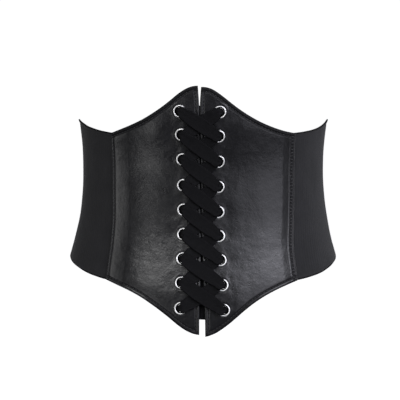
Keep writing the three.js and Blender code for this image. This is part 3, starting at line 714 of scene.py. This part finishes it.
def elastic_band():
    middle = np.linspace(0, 1, 18)[1:-1]
    columns = RIBS * 4 + 1
    rows = 2 * len(EDGE_ROWS) + len(middle)
    u = np.linspace(0, 1, columns)[:, None] + np.zeros((1, rows))
    z = np.full(u.shape, -30.0)
    for _ in range(6):
        start = along(SIDE_SEAM, "z", "right", z) - ELASTIC_TUCK
        end = 360 - along(SIDE_SEAM, "z", "left", z) + ELASTIC_TUCK
        degrees = start + (end - start) * u
        from_front = np.where(degrees <= 180, degrees, 360 - degrees)
        right = degrees <= 180
        edge = {}
        for e in ("top", "bottom"):
            edge[e] = np.where(right, along(ELASTIC_OUTLINE, "angle", "right_" + e, from_front), along(ELASTIC_OUTLINE, "angle", "left_" + e, from_front))
        low, high = edge["bottom"], edge["top"]
        n1, n2 = len(EDGE_ROWS), len(middle)
        z = np.empty(u.shape)
        z[:, :n1] = low[:, :n1] + EDGE_ROWS
        z[:, n1:n1 + n2] = (low + EDGE_ROWS[-1])[:, n1:n1 + n2] + (high - low - 2 * EDGE_ROWS[-1])[:, n1:n1 + n2] * middle
        z[:, n1 + n2:] = high[:, n1 + n2:] - EDGE_ROWS[::-1]
    angle = np.radians(degrees)
    length = 470.0
    end_distance = np.minimum(u, 1 - u) * length
    d = np.minimum(np.minimum(high - z, z - low), end_distance)
    round_ = np.sqrt(np.clip(1 - (1 - np.clip(d / 0.55, 0, 1)) ** 2, 0, 1))
    edge_d = np.minimum(high - z, z - low)
    rib = np.cos(2 * np.pi * u * RIBS)
    shown = step(50, 60, from_front)
    h = 0.045 * rib * step(3.2, 4.6, edge_d)
    h += 0.10 * hump(edge_d, 1.9, 1.0) - 0.16 * hump(edge_d, 3.5, 0.42)
    ripple = 0.30 * noise(u * 26, z / 40, 21) + 0.12 * noise(u * 60, z / 16, 22)
    curl = 1.0 * hump(from_front, 87.5, 6.5) * (1 - step(0, 4.5, high - z))
    lift = (ripple + curl) * shown
    outer = 0.6 + 0.6 * round_ + h * step(0.2, 1.2, d) + lift
    inner = 0.6 - 0.6 * round_ + lift
    outside, inside = surface(angle, z, outer), surface(angle, z, inner)
    ids = np.arange(u.size).reshape(u.shape)
    border = np.zeros(u.shape, bool)
    border[0], border[-1], border[:, 0], border[:, -1] = True, True, True, True
    outside[border] = (outside[border] + inside[border]) / 2
    back = ids.copy()
    back[~border] = u.size + np.arange((~border).sum())
    points = np.concatenate([outside.reshape(-1, 3), inside[~border]])
    uv_out = np.stack([u * length, z], -1).reshape(-1, 2)
    uv = np.concatenate([uv_out, uv_out.reshape(*u.shape, 2)[~border]])
    faces = grid_faces(ids) + grid_faces(back, flip=True)
    a, b, c = (outside.reshape(-1, 3)[faces[0][q]] for q in (0, 1, 2))
    if np.dot(np.cross(b - a, c - a), surface_frame(angle[0, 0], z[0, 0])[3]) < 0:
        faces = [f[::-1] for f in faces]
    # Painted shade: the rows within 0.9 mm of the top and bottom edges take the darker elastic
    rim = EDGE_ROWS[:-1] < 0.9
    edge_shade_rows = np.concatenate([rim, np.zeros(rows - 1 - 2 * len(rim), bool), rim[::-1]])
    shades = np.tile(edge_shade_rows, columns - 1).astype(int).tolist() * 2
    return piece("elastic_body", points, faces, [ELASTIC, ELASTIC_EDGE_SHADE], ["elastic_band"], shades, uv)


elastic = elastic_band()


# --------------------------------------------------------------------- eyelets
def eyelet_profile():
    """Radius and offset outward, once round the section."""
    bore, rim, back = EYELET["bore"], EYELET["rim"], EYELET["back_rim"]
    under = PANEL_OUTER - 0.08
    top = PANEL_OUTER + GAP + EYELET["rim_height"]
    points = [(rim - 0.30, under)]
    crown_in, crown_out = bore + 0.45, rim - 0.02
    middle, half = (crown_out + crown_in) / 2, (crown_out - crown_in) / 2
    for k in range(11):
        a = math.pi * k / 10
        points.append((middle + half * math.cos(a), (PANEL_OUTER + 0.35) + (top - PANEL_OUTER - 0.35) * math.sin(a) ** 0.85))
    points += [(bore, 2.6), (bore, 1.6), (bore + 0.05, 1.05), (bore + 0.25, 0.78), (bore + 0.6, 0.70)]
    points += [(back - 0.5, 0.72), (back - 0.15, 0.80), (back, 0.95), (back - 0.1, 1.18), (EYELET["barrel"] + 0.1, 1.2), (EYELET["barrel"], 1.35)]
    points += [(EYELET["barrel"], under - 0.15), (EYELET["barrel"] + 0.1, under)]
    return np.array(points)


PROFILE = eyelet_profile()
for side, p in PANELS.items():
    for row, (x0, z0), a0 in zip(EYELETS["row"], p.eyelets, p.eyelet_angle):
        point, across, up, out = surface_frame(a0, z0)
        sides = 44
        turn = np.arange(sides) * 2 * np.pi / sides
        r, h = PROFILE[:, 0][:, None], PROFILE[:, 1][:, None]
        pts = (point + (r * np.cos(turn))[..., None] * across + (r * np.sin(turn))[..., None] * up + (h + 0 * turn)[..., None] * out)
        ids = np.arange(pts.shape[0] * sides).reshape(-1, sides)
        ring = np.concatenate([ids, ids[:1]])
        ring = np.concatenate([ring, ring[:, :1]], axis=1)
        faces = grid_faces(ring)
        flat = pts.reshape(-1, 3)
        a, b, c = (flat[faces[sides * 5][q]] for q in (0, 1, 2))
        if np.dot(np.cross(b - a, c - a), out) < 0:
            faces = [f[::-1] for f in faces]
        # Painted shade: profile faces 8 to 15, the crown's inner slope, the bore and the back's inner rounding, take
        # the dark metal
        shades = np.repeat([1 if 8 <= k <= 15 else 0 for k in range(len(PROFILE))], sides).tolist()
        piece(f"ring_{side[0]}{row}", flat, faces, [METAL, METAL_PAINTED_SHADE], [f"eyelet_{side[0]}{row}"], shades)

# ------------------------------------------------------------------------ lace
STEP_UP = LACE["thickness"] + GAP
STRAP_SAG = 1.1
RIBBON_THICKNESS = 0.75
FILL_RADIUS = 3.42


def strap_offset(layer):
    return PANEL_OUTER + GAP + EYELET["rim_height"] + GAP + LACE["thickness"] / 2 + layer * STEP_UP


def bar_offset(layer):
    return PANEL_INNER - GAP - EYELET["back_thickness"] - GAP - LACE["thickness"] / 2 - layer * STEP_UP


def lace_stations():
    route = []
    b, hole, thick, t = LACE["bend"], LACE["hole_width"], LACE["hole_thickness"], LACE["thickness"]
    rows = [{k: EYELETS[k][i] for k in EYELETS} for i in range(9)]
    last = 8

    def add(x, z, offset, width, thickness, lean=0.0):
        route.append((x, z, offset, width, thickness, lean))

    def pass_at(row, layer):
        """Shift towards the centre, width and thickness of a pass through an eyelet."""
        if row["row"] in (1, 9):
            return LACE["single_shift"], LACE["single_width"], LACE["single_thickness"]
        return LACE["pass_shift"] * (1 if layer == 0 else -1), hole, thick

    def strap(left, right, layer):
        shift_a, wa, ta = pass_at(left, layer)
        shift_b, wb, tb = pass_at(right, layer)
        xa, xb, za, zb = left["left_x"] + shift_a, right["right_x"] - shift_b, left["left_z"], right["right_z"]
        top = strap_offset(layer)
        lean = math.atan2(zb - za, xb - xa - 2 * b)
        add(xa, za, PANEL_OUTER - 0.9, wa, ta)
        add(xa, za, top - b, wa, ta * 0.9)
        add(xa + 0.3 * b, za, top - 0.3 * b, hole + 0.8, t * 1.15, lean * 0.2)
        add(xa + b, za, top, LACE["rim_width"] - 1, t, lean * 0.5)
        for at, width, sink in STRAP_STATIONS:
            add(xa + b + (xb - xa - 2 * b) * at, za + (zb - za) * at, top - STRAP_SAG * sink, width, t, lean)
        add(xb - b, zb, top, LACE["rim_width"] - 1, t, lean * 0.5)
        add(xb - 0.3 * b, zb, top - 0.3 * b, hole + 0.8, t * 1.15, lean * 0.2)
        add(xb, zb, top - b, wb, tb * 0.9)
        add(xb, zb, PANEL_OUTER - 0.9, wb, tb)

    def bar_start(row, layer):
        low = bar_offset(layer)
        shift, w0, t0 = pass_at(row, layer)
        x, z = row["right_x"] - shift, row["right_z"]
        add(x, z, low + b, w0, t0 * 0.9)
        add(x - 0.3 * b, z, low + 0.3 * b, hole + 0.8, t * 1.15)
        add(x - b, z, low, LACE["rim_width"] - 1, t)

    def bar_end(row, layer):
        low = bar_offset(layer)
        shift, w0, t0 = pass_at(row, layer)
        x, z = row["left_x"] + shift, row["left_z"]
        add(x + b, z, low, LACE["rim_width"] - 1, t)
        add(x + 0.3 * b, z, low + 0.3 * b, hole + 0.8, t * 1.15)
        add(x, z, low + b, w0, t0 * 0.9)

    def bar(row, layer_in, layer_out, width=LACE["bar_width"], drop=0.0):
        xr = row["right_x"] - pass_at(row, layer_in)[0]
        xl = row["left_x"] + pass_at(row, layer_out)[0]
        bar_start(row, layer_in)
        add((xl + xr) / 2, (row["left_z"] + row["right_z"]) / 2 - drop, (bar_offset(layer_in) + bar_offset(layer_out)) / 2, width, t)
        bar_end(row, layer_out)

    first = rows[0]
    add(KNOT["x"] - KNOT["width"] / 2 - GAP, first["left_z"], bar_offset(1), 9.0, t)
    bar_end(first, 1)
    for i in range(last):
        strap(rows[i], rows[i + 1], 1)
        if i + 1 < last:
            bar(rows[i + 1], 1, 1)
        else:
            bar(rows[last], 1, 0, LACE["bottom_bar_width"], LACE["bottom_bar_drop"])
    for i in range(last, 0, -1):
        strap(rows[i], rows[i - 1], 0)
        if i > 1:
            bar(rows[i - 1], 0, 0)
    bar_start(first, 0)
    add(4.5, first["right_z"], (bar_offset(0) + bar_offset(1)) / 2, 9.8, t)
    add(KNOT["x"] + KNOT["width"] / 2 + GAP, first["left_z"], bar_offset(1), 9.0, t)
    return np.array(route)


def ribbon(route, spacing=0.9):
    x, z, offset, width, thick, lean = route.T
    point, side, up, out = surface_frame(angle_at_x(x, z, np.maximum(offset, 0)), z)
    centre = point + out * offset[:, None]
    across = up * np.cos(lean)[:, None] - side * np.sin(lean)[:, None]
    run = np.concatenate([[0], np.cumsum(np.linalg.norm(np.diff(centre, axis=0), axis=1))])
    count = int(run[-1] / spacing)
    t = np.unique(np.concatenate([np.linspace(0, run[-1], count), run]))
    t = t[np.concatenate([[True], np.diff(t) > 0.12])]

    def through(values):
        return along({"t": run, "v": values}, "t", "v", t)

    c = np.stack([through(centre[:, k]) for k in range(3)], -1)
    w = np.clip(through(width), 4.6, 14.5)
    h = np.clip(through(thick), 1.0, 3.0)
    a = np.stack([through(across[:, k]) for k in range(3)], -1)
    forward = unit(np.gradient(c, axis=0))
    a = unit(a - forward * (a * forward).sum(1, keepdims=True))
    n = unit(np.cross(a, forward))
    across_count = 19
    u = np.linspace(-1, 1, across_count)
    tight = np.clip((12.4 - w) / 7.2, 0, 1)[:, None]
    room = (h[:, None] - RIBBON_THICKNESS * (1 - 0.25 * tight)) / 2
    phase = 0.9 * np.sin(t / 23.0)[:, None] + 0.5 * np.sin(t / 7.3)[:, None]
    fold = np.cos(np.pi * (2.5 * u + 0.15) + phase) * (0.25 + 0.75 * tight**0.8)
    long_ = 0.45 * noise(t[:, None] / 9.0, u * 1.6 + 5, 31) * (1 - tight)
    wave = np.clip(room, 0, None) * (fold * np.clip(tight * 1.6 + 0.12, 0, 1) + long_)
    # the edges fall away softly from the middle
    wave -= 0.42 * (1 - tight) * np.abs(u) ** 2.6
    bunch = step(0.55, 1.0, tight)
    height = through(offset)[:, None]
    inside = bunch * step(-0.9, 0.6, height) * (1 - step(3.3, 4.5, height))
    # each pass rounded to the bore, from its own place beside the bore's axis
    beside = np.where(w[:, None] < 4.9, -LACE["single_shift"], LACE["pass_shift"])
    room_across = np.sqrt(FILL_RADIUS**2 - beside**2)
    filled = np.sqrt(np.clip(FILL_RADIUS**2 - (room_across * u) ** 2, 0, None)) - beside
    half = (RIBBON_THICKNESS * (1 - 0.25 * tight) * (1 - bunch) + 0.80 * h[:, None] * bunch) / 2
    half = half * (1 - inside)
    w = w * (1 - inside[:, 0]) + 2 * room_across[:, 0] * inside[:, 0]
    wave = wave * (1 - 0.75 * bunch) * (1 - inside)
    edge_round = np.sqrt(np.clip(1 - np.abs(u) ** (14 - 10.5 * bunch), 0, 1))
    selvedge = 1 + 0.18 * hump(np.abs(u), 0.9, 0.06) * (1 - inside)
    half = half * edge_round * selvedge + filled * inside
    edge_noise = 0.12 * noise(t / 5.0, 0 * t + 3, 41)
    span = (w / 2 + edge_noise * (1 - tight[:, 0]))[:, None] * u
    top = c[:, None] + a[:, None] * span[..., None] + n[:, None] * (wave + half)[..., None]
    low = c[:, None] + a[:, None] * span[..., None] + n[:, None] * (wave - half)[..., None]
    ring = np.concatenate([top, low[:, ::-1][:, 1:-1]], axis=1)
    across_mm = np.concatenate([span, span[:, ::-1][:, 1:-1]], axis=1)
    uv = np.stack([across_mm * 6.0 / (w / 2)[:, None], t[:, None] + 0 * across_mm], -1).reshape(-1, 2)
    k, m = ring.shape[:2]
    ids = np.arange(k * m).reshape(k, m)
    loop = np.concatenate([ids, ids[:, :1]], axis=1)
    faces = grid_faces(loop)
    faces += [ids[0].tolist(), ids[-1][::-1].tolist()]
    pts = ring.reshape(-1, 3)
    mid = k // 2
    q = faces[mid * m + across_count // 2]
    p0, p1, p2 = pts[q[0]], pts[q[1]], pts[q[2]]
    if np.dot(np.cross(p1 - p0, p2 - p0), n[mid]) < 0:
        faces = [f[::-1] for f in faces]
    return pts, faces, uv, run[-1]


lace_points, lace_faces, lace_uv, lace_length = ribbon(lace_stations())
piece("lacing", lace_points, lace_faces, [RIBBON], ["lace"], uv=lace_uv)


def knot():
    """A plain flat tie: a rounded core with three turns of ribbon round it."""
    z0 = EYELETS["left_z"][0]
    point, side, up, out = surface_frame(angle_at_x(KNOT["x"], z0, 0.0), z0)
    centre = point + out * (bar_offset(1) - 1.2)
    n, m = 40, 28
    u, v = np.meshgrid(np.linspace(0, 1, n), np.arange(m) * 2 * np.pi / m, indexing="ij")
    x = 2 * u - 1
    end = np.sqrt(np.clip(1 - np.abs(x) ** 4.5, 0, 1))
    turns = 1 + 0.055 * np.cos(2 * np.pi * (2.6 * u + 0.10 * np.sin(v)))
    y, w = np.cos(v), np.sin(v)
    square = (np.abs(y) ** 2.8 + np.abs(w) ** 2.8) ** (-1 / 2.8)
    pts = (
        centre
        + (x * KNOT["width"] / 2 * 0.97)[..., None] * side
        + (y * square * end * turns * KNOT["height"] / 2 * 0.86)[..., None] * up
        + (w * square * end * turns * KNOT["depth"] / 2 * 0.86)[..., None] * out
    )
    pts[0], pts[-1] = pts[0].mean(0), pts[-1].mean(0)
    body = pts[1:-1].reshape(-1, 3)
    ids = np.arange(len(body)).reshape(n - 2, m)
    loop = np.concatenate([ids, ids[:, :1]], axis=1)
    faces = grid_faces(loop)
    points = np.concatenate([body, pts[0][:1], pts[-1][:1]])
    a, b = len(body), len(body) + 1
    for q in range(m):
        faces.append([a, ids[0][(q + 1) % m], ids[0][q]])
        faces.append([b, ids[-1][q], ids[-1][(q + 1) % m]])
    f = faces[m * (n // 2)]
    p0, p1, p2 = points[f[0]], points[f[1]], points[f[2]]
    if np.dot(np.cross(p1 - p0, p2 - p0), p0 - centre) < 0:
        faces = [f[::-1] for f in faces]
    uv = np.stack([(u * KNOT["width"])[1:-1], (v * 3)[1:-1]], -1).reshape(-1, 2)
    uv = np.concatenate([uv, [[0, 0]], [[9, 0]]])
    return points, [[int(q) for q in f] for f in faces], uv


knot_points, knot_faces, knot_uv = knot()
piece("tie_knot", knot_points, knot_faces, [RIBBON], ["lace_knot"], uv=knot_uv)

# ----------------------------------------------------------------------- stage
floor_mesh = bpy.data.meshes.new("floor")
floor_mesh.from_pydata([(-40, -40, -0.55), (40, -40, -0.55), (40, 40, -0.55), (-40, 40, -0.55)], [], [(0, 1, 2, 3)])
floor = bpy.data.objects.new("floor", floor_mesh)
bpy.context.scene.collection.objects.link(floor)
floor_look = Nodes("floor")
floor_look.set(Base_Color=(0.9, 0.9, 0.9, 1), Roughness=0.9, Specular_IOR_Level=0.1, Emission_Color=(1, 1, 1, 1), Emission_Strength=0.85)
floor_mesh.materials.append(floor_look.material)
floor.visible_diffuse = False
floor.visible_glossy = False

world = bpy.data.worlds.new("studio")
bpy.context.scene.world = world
world.use_nodes = True
tree = world.node_tree
tree.nodes.clear()
out = tree.nodes.new("ShaderNodeOutputWorld")
seen = tree.nodes.new("ShaderNodeBackground")
seen.inputs["Color"].default_value, seen.inputs["Strength"].default_value = (1, 1, 1, 1), 1.05
light = tree.nodes.new("ShaderNodeBackground")
light.inputs["Color"].default_value = (0.94, 0.95, 1.0, 1)
direction = tree.nodes.new("ShaderNodeTexCoord")
parts = tree.nodes.new("ShaderNodeSeparateXYZ")
tree.links.new(direction.outputs["Generated"], parts.inputs["Vector"])


def ramp(socket, low, high, to_low, to_high):
    n = tree.nodes.new("ShaderNodeMapRange")
    n.interpolation_type = "SMOOTHSTEP"
    tree.links.new(socket, n.inputs["Value"])
    for k, v in (("From Min", low), ("From Max", high), ("To Min", to_low), ("To Max", to_high)):
        n.inputs[k].default_value = v
    return n.outputs["Result"]


behind = ramp(parts.outputs["Y"], 0.2, 1.0, 0.0, 0.40)
above = ramp(parts.outputs["Z"], 0.0, 1.0, 0.10, 0.13)
total = tree.nodes.new("ShaderNodeMath")
total.operation = "ADD"
tree.links.new(behind, total.inputs[0])
tree.links.new(above, total.inputs[1])
tree.links.new(total.outputs[0], light.inputs["Strength"])
path = tree.nodes.new("ShaderNodeLightPath")
mix = tree.nodes.new("ShaderNodeMixShader")
tree.links.new(path.outputs["Is Camera Ray"], mix.inputs[0])
tree.links.new(light.outputs[0], mix.inputs[1])
tree.links.new(seen.outputs[0], mix.inputs[2])
tree.links.new(mix.outputs[0], out.inputs["Surface"])


def softbox(name, azimuth, elevation, distance, width, height, watts, aim=(0, 0, -0.035), colour=(1, 1, 1)):
    """A soft rectangular light. Azimuth 0 is in front, 90 at the right of the view."""
    data = bpy.data.lights.new(name, "AREA")
    data.shape, data.size, data.size_y, data.energy, data.color = "RECTANGLE", width, height, watts, colour
    lamp = bpy.data.objects.new(name, data)
    bpy.context.scene.collection.objects.link(lamp)
    a, e = math.radians(azimuth), math.radians(elevation)
    away = Vector((math.sin(a) * math.cos(e), -math.cos(a) * math.cos(e), math.sin(e)))
    lamp.location = Vector(aim) + away * distance
    lamp.rotation_mode = "QUATERNION"
    lamp.rotation_quaternion = away.to_track_quat("Z", "Y")
    lamp.visible_camera = False
    return lamp


# a wide key from the upper right, a small fill from the upper left, weak light from below
# them, and a tall strip at the left side for the ridge by the seam
COOL = (0.905, 0.905, 1.0)
softbox("key", 44, 25.5, 2.0, 2.0, 0.58, 33.5, colour=COOL)
softbox("key_low", 44, 3, 2.0, 1.9, 0.9, 9.9, colour=COOL)
softbox("fill", -20, 25, 2.0, 0.6, 0.60, 12.0)
softbox("fill_low", -30, -10, 2.0, 0.6, 0.5, 3.6)
softbox("side", -81, 3, 2.0, 1.1, 1.1, 7.6)
softbox("side_right", 114, 6, 2.0, 0.7, 1.1, 10, colour=(0.96, 0.96, 1.0))

# ---------------------------------------------------------------------- camera
camera_data = bpy.data.cameras.new("camera")
camera = bpy.data.objects.new("camera", camera_data)
bpy.context.scene.collection.objects.link(camera)
camera.location = (-0.0029, -1.49635, 0.07053)
camera.rotation_euler = (math.radians(86), 0, 0)
camera_data.sensor_width = 36
camera_data.lens = 144.68
camera_data.clip_start, camera_data.clip_end = 0.05, 100
bpy.context.scene.camera = camera
bpy.context.scene.view_settings.view_transform = "Standard"
bpy.context.scene.view_settings.look = "None"
